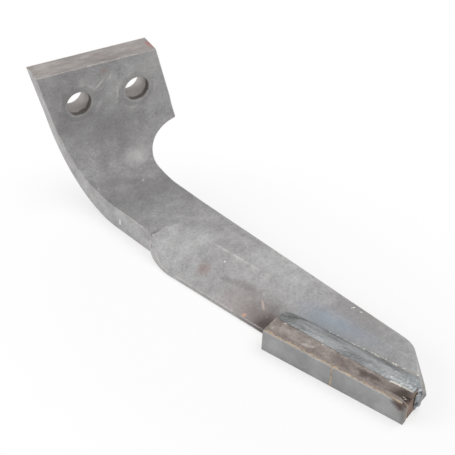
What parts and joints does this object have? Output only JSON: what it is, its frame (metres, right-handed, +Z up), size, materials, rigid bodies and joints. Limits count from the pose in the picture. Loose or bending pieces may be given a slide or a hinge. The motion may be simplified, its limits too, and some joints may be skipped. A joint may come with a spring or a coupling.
{
  "type": "harrow tine",
  "caption": "Forged harrow tine with a bolt-on flange, a bevelled blade and a carbide-faced tip.",
  "frame": {"origin": "middle of the bolt row, on the back face of the flange", "axes": "+X along the bolt row, +Y out of the flange's back face along the bolts, +Z up; the blade runs towards -Y with its back on the ground plane"},
  "size_m": [0.1299, 0.2863, 0.0975],
  "materials": {
    "forged_steel": "forge scale, worn",
    "bar_steel": "heat-browned, lightly rusted",
    "carbide": "matt grey sintered carbide",
    "braze": "dull golden braze",
    "weld": "blue-grey weld metal"
  },
  "bodies": {
    "root": {"tine_body": "forged_steel", "tip_bar": "bar_steel", "carbide_tile_inner": "carbide", "carbide_tile_outer": "carbide", "braze_seam": "braze", "tip_weld": "weld"}
  },
  "joints": []
}
